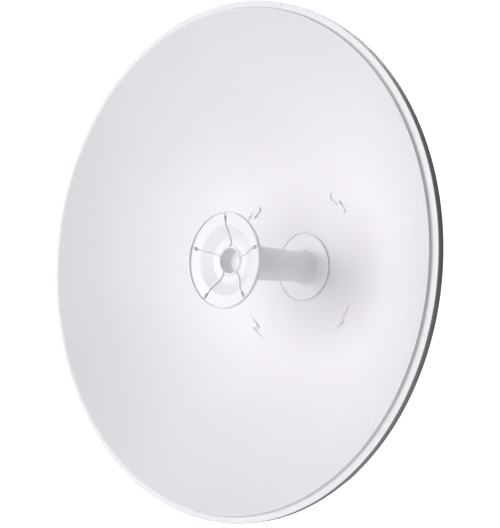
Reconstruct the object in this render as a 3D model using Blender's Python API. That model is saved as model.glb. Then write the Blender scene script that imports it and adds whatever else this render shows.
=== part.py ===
"""Parabolic dish antenna, 0.65 m: pressed reflector, front feed with sub-reflector, and a steel pole mount.

The boresight points along -Y and +Z is up. The origin lies on the flat rear face of the pole bracket,
in the middle of its web. Depths are measured backwards from the crest of the reflector's rim.
"""

import math

import bmesh
import bpy
from mathutils import Matrix, Vector

# Reflector
RIM_RADIUS = 0.3250
CREST_RADIUS = 0.3147
LAND_RADIUS = 0.3158
LAND_DEPTH = 0.0004
STEP_RADIUS = 0.3171
STEP_DEPTH = 0.0044
FLANGE_DEPTH = 0.0050
SKIRT_DEPTH = 0.0145
BOWL_DEPTH = 0.15146
SHEET = 0.0015
SEAT_RADIUS = 0.0440
FEED_HOLE_RADIUS = 0.0204
RIM_HOLE_RADIUS = 0.0014
RIM_HOLE_RING = 0.3216
RIM_HOLE_ANGLES = (60.4, 71.3)
RIM_HOLE_SEGMENTS = 8
DISH_SEGMENTS = 96
BOWL_STEPS = 9

# Twist lock between the reflector and the back plate
LOCK_ANGLES = (45.0, 135.0, 225.0, 315.0)
LOCK_RADIUS = 0.1048
TONGUE_WIDTH = 0.0060
TONGUE_SHEET = 0.0020
TONGUE_SLACK = 0.0001
SLOT_WIDTH = 0.0078
SLOT_START = -3.0
SLOT_END = 9.6
SLOT_STEPS = 3
TONGUE_FOOT = 3.4
TONGUE_RISE_START = 1.4
TONGUE_RISE_END = -1.4
TONGUE_TIP = -8.8

# Gaps, and how far a cutter reaches past the face it opens
SEAT_GAP = 0.0003
BOLT_GAP = 0.0003
CUT_MARGIN = 0.0020
SLOT_CUT_DEPTH = 0.0045
CUT_REACH = 0.0800

# Back plate
PLATE_SHEET = 0.0020
PLATE_WEB_DEPTH = 0.1560
PLATE_WEB_RADIUS = 0.0880
PLATE_FLANGE_IN = 0.0960
PLATE_FLANGE_OUT = 0.1180
PLATE_SEGMENTS = 72
PLATE_FLANGE_STEPS = 3

# Feed
TUBE_FRONT_RADIUS = 0.0226
TUBE_FOOT_RADIUS = 0.0197
TUBE_WALL = 0.0020
TUBE_FRONT_DEPTH = 0.0240
TUBE_REAR_DEPTH = 0.1700
FEED_SEGMENTS = 40
BASE_RADIUS = 0.0428
BASE_DEPTH = 0.1467
FLARE_RADIUS = 0.0100
FLARE_REACH = 0.0032
FLARE_LIP = 0.0003
FLARE_STEPS = 3
BASE_CHAMFER = 0.0005
LOCK_RING_RADIUS = 0.0310
LOCK_RING_HEIGHT = 0.0070
LOCK_RING_CHAMFER = 0.0010
HOUSING_SIDE = 0.0520
HOUSING_CORNER = 0.0080
HOUSING_CORNER_STEPS = 4
HOUSING_LENGTH = 0.0230
HOUSING_CHAMFER = 0.0020
CONNECTOR_SPACING = 0.0280
CONNECTOR_LENGTH = 0.0125
CONNECTOR_RADIUS = 0.0031
CONNECTOR_NUT_RADIUS = 0.0045
CONNECTOR_NUT_LENGTH = 0.0025

# Sub-reflector: radius and depth behind the foot of its lip, from the floor of its throat outwards
SUB_RIM_DEPTH = -0.0014
SUB_FRONT = (
    (0.0148, 0.0215),
    (0.0155, 0.0100),
    (0.0162, 0.0088),
    (0.0178, 0.0088),
    (0.0195, 0.0106),
    (0.0225, 0.0114),
    (0.0290, 0.0098),
    (0.0440, 0.0012),
    (0.0589, -0.0004),
    (0.0591, -0.0030),
    (0.0597, -0.0030),
    (0.0605, -0.0010),
)
SUB_BACK = (
    (0.0605, 0.0014),
    (0.0590, 0.0028),
    (0.0555, 0.0064),
    (0.0488, 0.0064),
    (0.0480, 0.0046),
    (0.0440, 0.0046),
    (0.0275, 0.0118),
    (0.0225, 0.0134),
    (0.0178, 0.0134),
    (0.0172, 0.0233),
)
SUB_SEAT_DEPTH = 0.0046
SUB_SEGMENTS = 48
POCKET_IN = 0.0490
POCKET_OUT = 0.0555
POCKET_WIDTH = 0.0036
POCKET_FLOOR = 0.0052

# Spider: a hub on the lip of the throat, and ribs that follow the face and dip into one pocket each
RIB_ANGLES = (12.2, 86.6, 158.6, 230.6, 302.6)
RIB_WIDTH = 0.0016
RIB_HEIGHT = 0.0017
RIB_PATH = (
    (0.0170, 0.0083),
    (0.0178, 0.0083),
    (0.0196, 0.0101),
    (0.0224, 0.0109),
    (0.0288, 0.0093),
    (0.0436, 0.0008),
    (0.0486, 0.0003),
    (0.0492, 0.0009),
    (0.0504, 0.0034),
    (0.0520, 0.0046),
    (0.0536, 0.0034),
    (0.0549, 0.0002),
    (0.0556, -0.0003),
    (0.0583, -0.0008),
)
HUB_INNER = 0.0160
HUB_OUTER = 0.0176
HUB_TOP = 0.0074
HUB_FOOT = 0.0085

# Neck behind the sub-reflector
NECK_FRONT_RADIUS = 0.0465
NECK_REAR_RADIUS = 0.0255
NECK_WALL = 0.0020
NECK_REAR_DEPTH = 0.0320

# Steel mount
MOUNT_DEPTH = 0.2450
BRACKET_SHEET = 0.0030
BEND_RADIUS = 0.0050
BEND_STEPS = 4
CHEEK_SPAN = 0.1200
CHEEK_HEIGHT = 0.1100
CHEEK_REAR_DEPTH = 0.2320
CHEEK_REAR_HEIGHT = 0.0780
CHEEK_TAPER_DEPTH = 0.1800
BRACKET_BOLT_OFFSET = 0.0380
EAR_FRONT_DEPTH = 0.2030
EAR_HEIGHT = 0.0760
EAR_SPAN = CHEEK_SPAN - 2 * BRACKET_SHEET - 2 * SEAT_GAP
TILT_AXIS_DEPTH = 0.2170
TILT_BOLT_HEIGHT = 0.0240
TILT_SLOT_ANGLE = 13.0
TILT_SLOT_STEPS = 6
SLOT_END_STEPS = 4
POLE_RADIUS = 0.0250
JAW_APEX = 0.0060
JAW_REACH = 0.0320
JAW_TIP_HALF_WIDTH = 0.0440
CLAMP_BOLT_X = 0.0420
CLAMP_BOLT_Z = 0.0220

# M8 fasteners
BOLT_RADIUS = 0.0040
BOLT_HOLE_RADIUS = BOLT_RADIUS + BOLT_GAP
BRACKET_BOLT_LENGTH = 0.0180
TILT_BOLT_LENGTH = 0.0180
CLAMP_BOLT_LENGTH = 0.1050
HEX_CORNER_RADIUS = 0.0075
HEX_HEAD_HEIGHT = 0.0055
HEX_CHAMFER = 0.0006
NUT_HEIGHT = 0.0065
DOME_RADIUS = 0.0100
DOME_HEIGHT = 0.0045
DOME_STEPS = ((0.45, 1.0), (0.85, 0.62), (1.0, 0.15), (1.0, 0.0))
BOLT_SEGMENTS = 12

SHARP_ANGLE = math.radians(30)


def clear_scene():
    for obj in list(bpy.data.objects):
        bpy.data.objects.remove(obj, do_unlink=True)


def material(name, color, roughness, metallic=0.0):
    made = bpy.data.materials.new(name)
    made.use_nodes = True
    shader = made.node_tree.nodes["Principled BSDF"]
    shader.inputs["Base Color"].default_value = (*color, 1.0)
    shader.inputs["Roughness"].default_value = roughness
    shader.inputs["Metallic"].default_value = metallic
    return made


def add_object(name, mesh_data, finish, parent=None):
    obj = bpy.data.objects.new(name, mesh_data)
    bpy.context.scene.collection.objects.link(obj)
    if finish:
        mesh_data.materials.append(finish)
    obj.parent = parent
    return obj


def skin_mesh(name, rings, closed):
    """A mesh over rings of equal point count: closed joins the last ring to the first, otherwise both get caps."""
    shape = bmesh.new()
    rows = [[shape.verts.new(point) for point in ring] for ring in rings]
    count = len(rows[0])
    pairs = list(zip(rows, rows[1:]))
    if closed:
        pairs.append((rows[-1], rows[0]))
    for first, second in pairs:
        for i in range(count):
            j = (i + 1) % count
            shape.faces.new((first[i], first[j], second[j], second[i]))
    if not closed:
        shape.faces.new(rows[0])
        shape.faces.new(rows[-1])
    bmesh.ops.recalc_face_normals(shape, faces=shape.faces)
    data = bpy.data.meshes.new(name)
    shape.to_mesh(data)
    shape.free()
    data.shade_smooth()
    data.set_sharp_from_angle(angle=SHARP_ANGLE)
    return data


def circle(radius, z, segments, turn=0.0):
    points = []
    for i in range(segments):
        angle = turn + 2 * math.pi * i / segments
        points.append((radius * math.cos(angle), radius * math.sin(angle), z))
    return points


def turned(name, section, segments, closed=True):
    """A solid of revolution about local Z: a closed section of (radius, z), or an open one with flat ends."""
    return skin_mesh(name, [circle(radius, z, segments) for radius, z in section], closed)


def prism(name, outline, low, high):
    """An outline in X and Y, extruded along Z."""
    return skin_mesh(name, [[(x, y, low) for x, y in outline], [(x, y, high) for x, y in outline]], False)


def boolean(obj, other, operation):
    modifier = obj.modifiers.new(f"{operation.lower()}_{other.name}", "BOOLEAN")
    modifier.operation = operation
    modifier.object = other


def helper(mesh_data, parent=None, placed=None):
    """An object that cuts or joins another and is not a piece itself."""
    obj = add_object(mesh_data.name, mesh_data, None, parent)
    obj.hide_render = True
    obj.display_type = "WIRE"
    if placed:
        obj.matrix_local = placed
    return obj


def cut(obj, mesh_data, parent=None, placed=None):
    boolean(obj, helper(mesh_data, parent, placed), "DIFFERENCE")


def join(obj, mesh_data, parent=None, placed=None):
    boolean(obj, helper(mesh_data, parent, placed), "UNION")


def ahead(depth):
    """Distance in front of the mounting face of a point that lies this deep behind the rim's crest."""
    return MOUNT_DEPTH - depth


def bowl_point(radius, offset=0.0):
    """Radius and distance ahead of a point on the paraboloid, moved backwards along its normal."""
    depth = BOWL_DEPTH * (1 - (radius / CREST_RADIUS) ** 2)
    slope = 2 * BOWL_DEPTH * radius / CREST_RADIUS**2
    length = math.hypot(slope, 1)
    return radius + offset * slope / length, ahead(depth) - offset / length


def lock_point(angle, radius, offset):
    """A point of the twist lock in the antenna's frame: an angle in degrees round the axis, and an offset."""
    around = math.radians(angle)
    reach, z = bowl_point(radius, offset)
    return Vector((reach * math.cos(around), reach * math.sin(around), z))


def spread(first, last, steps):
    return [first + (last - first) * i / steps for i in range(steps + 1)]


def reflector_section():
    radii = spread(SEAT_RADIUS, CREST_RADIUS, BOWL_STEPS)
    seat = ahead(BOWL_DEPTH * (1 - (SEAT_RADIUS / CREST_RADIUS) ** 2))
    front = [(FEED_HOLE_RADIUS, seat)]
    front += [bowl_point(radius) for radius in radii]
    rim = [
        (LAND_RADIUS, ahead(LAND_DEPTH)),
        (STEP_RADIUS, ahead(STEP_DEPTH)),
        (RIM_RADIUS, ahead(FLANGE_DEPTH)),
        (RIM_RADIUS, ahead(SKIRT_DEPTH)),
        (RIM_RADIUS - SHEET, ahead(SKIRT_DEPTH)),
        (RIM_RADIUS - SHEET, ahead(FLANGE_DEPTH + SHEET)),
        (STEP_RADIUS - SHEET / 2, ahead(STEP_DEPTH + SHEET)),
    ]
    back = [bowl_point(radius, SHEET) for radius in reversed(radii[:-1])]
    back.append((SEAT_RADIUS, seat - SHEET))
    back.append((FEED_HOLE_RADIUS, seat - SHEET))
    return front + rim + back


def slot_cutter(angle):
    """A block along the dish wall, from the start to the end of one lock slot."""
    rings = []
    for turn in spread(angle + SLOT_START, angle + SLOT_END, SLOT_STEPS):
        square = []
        for side, level in ((-1, -1), (1, -1), (1, 1), (-1, 1)):
            square.append(lock_point(turn, LOCK_RADIUS + side * SLOT_WIDTH / 2, level * SLOT_CUT_DEPTH))
        rings.append(square)
    return skin_mesh("slot_cutter", rings, False)


def make_reflector(axis, finish):
    dish = add_object("reflector_dish", turned("reflector_dish", reflector_section(), DISH_SEGMENTS), finish, axis)
    for angle in LOCK_ANGLES:
        cut(dish, slot_cutter(angle), axis)
    for angle in RIM_HOLE_ANGLES:
        around = math.radians(angle)
        low, high = ahead(FLANGE_DEPTH + 3 * SHEET), ahead(0)
        rings = [circle(RIM_HOLE_RADIUS, z, RIM_HOLE_SEGMENTS) for z in (low, high)]
        place = Matrix.Translation((RIM_HOLE_RING * math.cos(around), RIM_HOLE_RING * math.sin(around), 0))
        cut(dish, skin_mesh("rim_hole_cutter", rings, False), axis, place)


def back_plate_section():
    radii = spread(PLATE_FLANGE_IN, PLATE_FLANGE_OUT, PLATE_FLANGE_STEPS)
    near = SHEET + SEAT_GAP
    web_front = ahead(PLATE_WEB_DEPTH)
    hole = FEED_HOLE_RADIUS
    section = [(hole, web_front), (PLATE_WEB_RADIUS, web_front)]
    section += [bowl_point(radius, near) for radius in radii]
    section += [bowl_point(radius, near + PLATE_SHEET) for radius in reversed(radii)]
    section.append((PLATE_WEB_RADIUS + PLATE_SHEET, web_front - PLATE_SHEET))
    section.append((hole, web_front - PLATE_SHEET))
    return section


def tongue(angle):
    """One hook: its foot in the plate's flange, a ramp through the slot and a tip over the front of the dish."""
    flange = SHEET + SEAT_GAP + PLATE_SHEET / 2
    front = -(SEAT_GAP + TONGUE_SHEET / 2)
    path = [
        (TONGUE_FOOT, flange),
        (TONGUE_RISE_START, flange),
        (TONGUE_RISE_END, front),
        (TONGUE_TIP, front),
    ]
    half = TONGUE_SHEET / 2 - TONGUE_SLACK
    rings = []
    for turn, offset in path:
        square = []
        for side, level in ((-1, -1), (1, -1), (1, 1), (-1, 1)):
            radius = LOCK_RADIUS + side * TONGUE_WIDTH / 2
            square.append(lock_point(angle + turn, radius, offset + level * half))
        rings.append(square)
    return skin_mesh("tongue", rings, False)


def corners(half_x, half_z):
    """The four corners of a rectangle about the axis."""
    return [(x, z) for x in (-half_x, half_x) for z in (-half_z, half_z)]


def bolt_corners():
    return corners(BRACKET_BOLT_OFFSET, BRACKET_BOLT_OFFSET)


def make_back_plate(axis, finish):
    plate = add_object("back_plate", turned("back_plate", back_plate_section(), PLATE_SEGMENTS), finish, axis)
    for angle in LOCK_ANGLES:
        join(plate, tongue(angle), axis)
    web = ahead(PLATE_WEB_DEPTH)
    for x, y in bolt_corners():
        levels = (web - PLATE_SHEET - CUT_MARGIN, web + CUT_MARGIN)
        rings = [circle(BOLT_HOLE_RADIUS, z, BOLT_SEGMENTS) for z in levels]
        cut(plate, skin_mesh("plate_bolt_cutter", rings, False), axis, Matrix.Translation((x, y, 0)))


def flare_turn(reach):
    """How far the flare has turned from the tube's side when it has widened by this much."""
    return math.acos(1 - reach / FLARE_RADIUS)


def foot_flare(bore, top):
    """The concave flare that leads from the tube, over a thin lip, to the front of the base flange."""
    last = flare_turn(FLARE_REACH)
    points = []
    for turn in spread(flare_turn(SEAT_GAP + FLARE_LIP), last, FLARE_STEPS):
        radius = TUBE_FOOT_RADIUS + FLARE_RADIUS * (1 - math.cos(turn))
        points.append((radius, top + FLARE_RADIUS * (math.sin(last) - math.sin(turn))))
    return [(bore, points[0][1])] + points


def make_feed(axis, plastic, brass):
    bore = TUBE_FOOT_RADIUS + SEAT_GAP
    top = ahead(BASE_DEPTH)
    foot = bowl_point(SEAT_RADIUS)[1] + SEAT_GAP
    base = foot_flare(bore, top) + [
        (BASE_RADIUS - BASE_CHAMFER, top),
        (BASE_RADIUS, top - BASE_CHAMFER),
        (BASE_RADIUS, foot),
        (bore, foot),
    ]
    add_object("feed_base_flange", turned("feed_base_flange", base, FEED_SEGMENTS), plastic, axis)
    taper_end = top + FLARE_RADIUS * math.sin(flare_turn(FLARE_REACH))
    tube = [
        (TUBE_FRONT_RADIUS, ahead(TUBE_FRONT_DEPTH)),
        (TUBE_FOOT_RADIUS, taper_end),
        (TUBE_FOOT_RADIUS, ahead(TUBE_REAR_DEPTH)),
        (TUBE_FOOT_RADIUS - TUBE_WALL, ahead(TUBE_REAR_DEPTH)),
        (TUBE_FOOT_RADIUS - TUBE_WALL, taper_end),
        (TUBE_FRONT_RADIUS - TUBE_WALL, ahead(TUBE_FRONT_DEPTH)),
    ]
    add_object("feed_tube", turned("feed_tube", tube, FEED_SEGMENTS), plastic, axis)
    neck_front = ahead(SUB_RIM_DEPTH + SUB_SEAT_DEPTH + SEAT_GAP)
    shoulder = ahead(TUBE_FRONT_DEPTH - SEAT_GAP)
    socket = TUBE_FRONT_RADIUS + SEAT_GAP
    throat = TUBE_FRONT_RADIUS - TUBE_WALL
    neck = [
        (NECK_FRONT_RADIUS, neck_front),
        (NECK_REAR_RADIUS, ahead(NECK_REAR_DEPTH)),
        (socket, ahead(NECK_REAR_DEPTH)),
        (socket, shoulder),
        (throat, shoulder),
        (throat, shoulder + NECK_WALL),
        (NECK_FRONT_RADIUS - NECK_WALL, neck_front),
    ]
    add_object("feed_neck", turned("feed_neck", neck, FEED_SEGMENTS), plastic, axis)
    ring_front = ahead(PLATE_WEB_DEPTH + PLATE_SHEET + BRACKET_SHEET + 2 * SEAT_GAP)
    ring = [
        (bore, ring_front),
        (LOCK_RING_RADIUS, ring_front),
        (LOCK_RING_RADIUS, ring_front - LOCK_RING_HEIGHT + LOCK_RING_CHAMFER),
        (LOCK_RING_RADIUS - LOCK_RING_CHAMFER, ring_front - LOCK_RING_HEIGHT),
        (bore, ring_front - LOCK_RING_HEIGHT),
    ]
    add_object("feed_lock_ring", turned("feed_lock_ring", ring, FEED_SEGMENTS), plastic, axis)
    make_rear_housing(axis, plastic, brass)


def rounded_square(side, corner):
    points = []
    for quarter in range(4):
        middle = math.radians(45 + 90 * quarter)
        centre = (side / 2 - corner) * math.sqrt(2)
        cx, cy = centre * math.cos(middle), centre * math.sin(middle)
        for turn in spread(middle - math.pi / 4, middle + math.pi / 4, HOUSING_CORNER_STEPS):
            points.append((cx + corner * math.cos(turn), cy + corner * math.sin(turn)))
    return points


def make_rear_housing(axis, plastic, brass):
    front = ahead(TUBE_REAR_DEPTH + SEAT_GAP)
    rear = front - HOUSING_LENGTH
    outline = rounded_square(HOUSING_SIDE, HOUSING_CORNER)
    inner = rounded_square(HOUSING_SIDE - 2 * HOUSING_CHAMFER, HOUSING_CORNER - HOUSING_CHAMFER)
    rings = [
        [(x, y, front) for x, y in outline],
        [(x, y, rear + HOUSING_CHAMFER) for x, y in outline],
        [(x, y, rear) for x, y in inner],
    ]
    add_object("feed_rear_housing", skin_mesh("feed_rear_housing", rings, False), plastic, axis)
    middle = (front + rear) / 2
    below = -HOUSING_SIDE / 2 - SEAT_GAP
    for side, name in ((-1, "rf_connector_left"), (1, "rf_connector_right")):
        barrel = [
            (CONNECTOR_NUT_RADIUS, 0.0),
            (CONNECTOR_NUT_RADIUS, -CONNECTOR_NUT_LENGTH),
            (CONNECTOR_RADIUS, -CONNECTOR_NUT_LENGTH),
            (CONNECTOR_RADIUS, -CONNECTOR_LENGTH),
        ]
        piece = add_object(name, turned(name, barrel, BOLT_SEGMENTS, closed=False), brass, axis)
        piece.location = (side * CONNECTOR_SPACING / 2, below, middle)
        piece.rotation_euler = (math.radians(-90), 0, 0)


def sub_point(radius, depth):
    return radius, ahead(SUB_RIM_DEPTH + depth)


def make_sub_reflector(axis, plastic):
    section = [sub_point(*point) for point in SUB_FRONT + SUB_BACK]
    disc = add_object("sub_reflector", turned("sub_reflector", section, SUB_SEGMENTS, closed=False), plastic, axis)
    hub = [
        sub_point(HUB_INNER, HUB_FOOT),
        sub_point(HUB_OUTER, HUB_FOOT),
        sub_point(HUB_OUTER, HUB_TOP),
        sub_point(HUB_INNER, HUB_TOP),
    ]
    spider = add_object("sub_reflector_spider", turned("sub_reflector_spider", hub, FEED_SEGMENTS), plastic, axis)
    for angle in RIB_ANGLES:
        turn = Matrix.Rotation(math.radians(angle), 4, "Z")
        cut(disc, pocket_cutter(), axis, turn)
        join(spider, rib(), axis, turn)


def pocket_cutter():
    """A block along local X, down to the floor of the pocket under one rib."""
    floor = ahead(SUB_RIM_DEPTH + POCKET_FLOOR)
    half = POCKET_WIDTH / 2
    top = floor + POCKET_FLOOR + CUT_MARGIN
    rings = []
    for radius in (POCKET_IN, POCKET_OUT):
        rings.append([(radius, -half, floor), (radius, half, floor), (radius, half, top), (radius, -half, top)])
    return skin_mesh("pocket_cutter", rings, False)


def rib():
    """One rib along local X: a strip that follows the face of the sub-reflector."""
    rings = []
    half = RIB_WIDTH / 2
    for radius, depth in RIB_PATH:
        foot = ahead(SUB_RIM_DEPTH + depth)
        top = foot + RIB_HEIGHT
        rings.append([(radius, -half, foot), (radius, half, foot), (radius, half, top), (radius, -half, top)])
    return skin_mesh("rib", rings, False)


def channel_outline(width, legs_to, web_from, web_to):
    """A U in X and Y: the web lies between web_from and web_to, and the legs reach legs_to."""
    sign = 1 if legs_to > web_from else -1
    outer, inner = width / 2, width / 2 - BRACKET_SHEET
    back, front = (web_from, web_to) if sign > 0 else (web_to, web_from)
    right = []
    for turn in spread(0, math.pi / 2, BEND_STEPS):
        radius = BEND_RADIUS
        x = outer - radius + radius * math.sin(turn)
        right.append((x, back + sign * (radius - radius * math.cos(turn))))
    right += [(outer, legs_to), (inner, legs_to)]
    for turn in reversed(spread(0, math.pi / 2, BEND_STEPS)):
        radius = BEND_RADIUS - BRACKET_SHEET
        x = inner - radius + radius * math.sin(turn)
        right.append((x, front + sign * (radius - radius * math.cos(turn))))
    return right + [(-x, y) for x, y in reversed(right)]


def across(name, outline):
    """An outline in Y and Z that reaches along X through both cheeks."""
    return skin_mesh(name, [[(x, y, z) for y, z in outline] for x in (-CUT_REACH, CUT_REACH)], False)


def round_hole(y, z, radius):
    return [(y + a, z + b) for a, b, _ in circle(radius, 0.0, BOLT_SEGMENTS)]


def tilt_slot():
    """A curved slot with round ends, on an arc about the pivot bolt."""
    pivot_y, pivot_z = TILT_AXIS_DEPTH - MOUNT_DEPTH, -TILT_BOLT_HEIGHT
    reach = 2 * TILT_BOLT_HEIGHT
    limit = math.radians(TILT_SLOT_ANGLE)
    outer = [(reach + BOLT_HOLE_RADIUS, turn) for turn in spread(-limit, limit, TILT_SLOT_STEPS)]
    inner = [(reach - BOLT_HOLE_RADIUS, turn) for turn in spread(limit, -limit, TILT_SLOT_STEPS)]
    outline = []
    for row, end in ((outer, limit), (inner, -limit)):
        outline += [(radius * math.sin(turn), radius * math.cos(turn)) for radius, turn in row]
        start = math.pi / 2 if end > 0 else -math.pi / 2
        for sweep in spread(0, math.pi, SLOT_END_STEPS)[1:-1]:
            angle = start - end - sweep
            y = reach * math.sin(end) + BOLT_HOLE_RADIUS * math.cos(angle)
            z = reach * math.cos(end) + BOLT_HOLE_RADIUS * math.sin(angle)
            outline.append((y, z))
    return across("tilt_slot", [(pivot_y + y, pivot_z + z) for y, z in outline])


def taper_cutter(sign):
    """A wedge that slopes the upper or lower edge of both cheeks."""
    taper_length = CHEEK_REAR_DEPTH - CHEEK_TAPER_DEPTH
    slope = (CHEEK_HEIGHT - CHEEK_REAR_HEIGHT) / 2 / taper_length
    start, end = CHEEK_TAPER_DEPTH - MOUNT_DEPTH, CHEEK_REAR_DEPTH - MOUNT_DEPTH + CUT_MARGIN
    past = CHEEK_HEIGHT / 2 + CUT_MARGIN
    outline = [
        (start, CHEEK_HEIGHT / 2),
        (end, CHEEK_HEIGHT / 2 - slope * (end - start)),
        (end, past),
        (start, past),
    ]
    return across("taper_cutter", [(y, sign * z) for y, z in outline])


def drill(name, x, z, y_low, y_high, radius, segments=BOLT_SEGMENTS):
    """A cylinder along Y that reaches past both faces."""
    ring = [(x + a, z + b) for a, b, _ in circle(radius, 0.0, segments)]
    levels = (y_low - CUT_MARGIN, y_high + CUT_MARGIN)
    return skin_mesh(name, [[(px, y, pz) for px, pz in ring] for y in levels], False)


def make_dish_bracket(finish):
    web_front = PLATE_WEB_DEPTH + PLATE_SHEET + SEAT_GAP - MOUNT_DEPTH
    web_rear = web_front + BRACKET_SHEET
    outline = channel_outline(CHEEK_SPAN, CHEEK_REAR_DEPTH - MOUNT_DEPTH, web_front, web_rear)
    half = CHEEK_HEIGHT / 2
    bracket = add_object("dish_bracket", prism("dish_bracket", outline, -half, half), finish)
    cut(bracket, drill("feed_clearance", 0, 0, web_front, web_rear, FEED_HOLE_RADIUS, FEED_SEGMENTS))
    for x, z in bolt_corners():
        cut(bracket, drill("bracket_hole", x, z, web_front, web_rear, BOLT_HOLE_RADIUS))
    tilt_y = TILT_AXIS_DEPTH - MOUNT_DEPTH
    cut(bracket, across("pivot_hole", round_hole(tilt_y, -TILT_BOLT_HEIGHT, BOLT_HOLE_RADIUS)))
    cut(bracket, tilt_slot())
    for sign in (-1, 1):
        cut(bracket, taper_cutter(sign))


def jaw_outline(web_y, tip_y, apex_y):
    """One clamp jaw in X and Y, from the web to its tip, with a right-angled notch for the pole."""
    side = EAR_SPAN / 2
    notch = abs(tip_y - apex_y)
    return [
        (-side, web_y),
        (side, web_y),
        (JAW_TIP_HALF_WIDTH, tip_y),
        (notch, tip_y),
        (0.0, apex_y),
        (-notch, tip_y),
        (-JAW_TIP_HALF_WIDTH, tip_y),
    ]


def make_pole_bracket(finish):
    outline = channel_outline(EAR_SPAN, EAR_FRONT_DEPTH - MOUNT_DEPTH, -BRACKET_SHEET, 0.0)
    half = EAR_HEIGHT / 2
    bracket = add_object("pole_bracket", prism("pole_bracket", outline, -half, half), finish)
    jaw = jaw_outline(-BRACKET_SHEET / 2, JAW_REACH, JAW_APEX)
    join(bracket, prism("upper_jaw", jaw, half - BRACKET_SHEET, half))
    join(bracket, prism("lower_jaw", jaw, -half, -half + BRACKET_SHEET))
    tilt_y = TILT_AXIS_DEPTH - MOUNT_DEPTH
    for height in (-TILT_BOLT_HEIGHT, TILT_BOLT_HEIGHT):
        cut(bracket, across("ear_hole", round_hole(tilt_y, height, BOLT_HOLE_RADIUS)))
    for x, z in clamp_corners():
        cut(bracket, drill("web_hole", x, z, -BRACKET_SHEET, 0.0, BOLT_HOLE_RADIUS))


def clamp_corners():
    return corners(CLAMP_BOLT_X, CLAMP_BOLT_Z)


def pole_centre():
    return JAW_APEX + POLE_RADIUS * math.sqrt(2)


def make_pole_clamp(finish):
    """The mirror image of the pole bracket's web and jaws, on the far side of the pole."""
    front = 2 * pole_centre()
    rear = front + BRACKET_SHEET
    side = EAR_SPAN / 2
    web = [(-side, front), (side, front), (side, rear), (-side, rear)]
    half = EAR_HEIGHT / 2
    clamp = add_object("pole_clamp", prism("pole_clamp", web, -half, half), finish)
    jaw = jaw_outline(front + BRACKET_SHEET / 2, front - JAW_REACH, front - JAW_APEX)
    join(clamp, prism("upper_clamp_jaw", jaw, half - BRACKET_SHEET, half))
    join(clamp, prism("lower_clamp_jaw", jaw, -half, -half + BRACKET_SHEET))
    for x, z in clamp_corners():
        cut(clamp, drill("clamp_hole", x, z, front, rear, BOLT_HOLE_RADIUS))


def hexagon(radius, z):
    """Twelve points of a hexagon: its corners and the middles of its sides."""
    points = []
    for i in range(BOLT_SEGMENTS):
        angle = 2 * math.pi * i / BOLT_SEGMENTS
        reach = radius if i % 2 == 0 else radius * math.cos(math.pi / 6)
        points.append((reach * math.cos(angle), reach * math.sin(angle), z))
    return points


def hex_bolt_mesh(name, length):
    """Head above z = 0, shank below it."""
    rings = [
        hexagon(HEX_CORNER_RADIUS - HEX_CHAMFER, HEX_HEAD_HEIGHT),
        hexagon(HEX_CORNER_RADIUS, HEX_HEAD_HEIGHT - HEX_CHAMFER),
        hexagon(HEX_CORNER_RADIUS, 0.0),
        circle(BOLT_RADIUS, 0.0, BOLT_SEGMENTS),
        circle(BOLT_RADIUS, -length, BOLT_SEGMENTS),
    ]
    return skin_mesh(name, rings, False)


def dome_bolt_mesh(name, length):
    rings = [circle(DOME_RADIUS * wide, DOME_HEIGHT * high, BOLT_SEGMENTS) for wide, high in DOME_STEPS]
    rings.append(circle(BOLT_RADIUS, 0.0, BOLT_SEGMENTS))
    rings.append(circle(BOLT_RADIUS, -length, BOLT_SEGMENTS))
    return skin_mesh(name, rings, False)


def nut_mesh(name):
    """A nut on z = 0 that reaches down along the bolt."""
    rings = [
        circle(BOLT_HOLE_RADIUS, 0.0, BOLT_SEGMENTS),
        hexagon(HEX_CORNER_RADIUS, 0.0),
        hexagon(HEX_CORNER_RADIUS, -NUT_HEIGHT),
        circle(BOLT_HOLE_RADIUS, -NUT_HEIGHT, BOLT_SEGMENTS),
    ]
    return skin_mesh(name, rings, True)


def place(name, mesh_data, finish, location, rotation):
    obj = add_object(name, mesh_data, finish)
    obj.location = location
    obj.rotation_euler = rotation
    return obj


def make_fasteners(finish):
    facing_front = (math.radians(90), 0, 0)
    plate_front = PLATE_WEB_DEPTH - MOUNT_DEPTH
    bracket_rear = plate_front + PLATE_SHEET + SEAT_GAP + BRACKET_SHEET
    short = dome_bolt_mesh("short_bolt", BRACKET_BOLT_LENGTH)
    long = dome_bolt_mesh("long_bolt", CLAMP_BOLT_LENGTH)
    hex_bolt = hex_bolt_mesh("hex_bolt", TILT_BOLT_LENGTH)
    nut = nut_mesh("nut")
    for number, (x, z) in enumerate(bolt_corners(), 1):
        place(f"bracket_bolt_{number}", short, finish, (x, plate_front - SEAT_GAP, z), facing_front)
        place(f"bracket_nut_{number}", nut, finish, (x, bracket_rear + SEAT_GAP, z), facing_front)
    clamp_rear = 2 * pole_centre() + BRACKET_SHEET
    for number, (x, z) in enumerate(clamp_corners(), 1):
        place(f"clamp_bolt_{number}", long, finish, (x, -BRACKET_SHEET - SEAT_GAP, z), facing_front)
        place(f"clamp_nut_{number}", nut, finish, (x, clamp_rear + SEAT_GAP, z), facing_front)
    tilt_y = TILT_AXIS_DEPTH - MOUNT_DEPTH
    outside = CHEEK_SPAN / 2 + SEAT_GAP
    inside = CHEEK_SPAN / 2 - 2 * BRACKET_SHEET - 2 * SEAT_GAP
    for side, word in ((-1, "left"), (1, "right")):
        outward = (0, math.radians(90 * side), 0)
        for height, kind in ((-TILT_BOLT_HEIGHT, "pivot"), (TILT_BOLT_HEIGHT, "tilt_lock")):
            place(f"{kind}_bolt_{word}", hex_bolt, finish, (side * outside, tilt_y, height), outward)
            place(f"{kind}_nut_{word}", nut, finish, (side * inside, tilt_y, height), outward)


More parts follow.
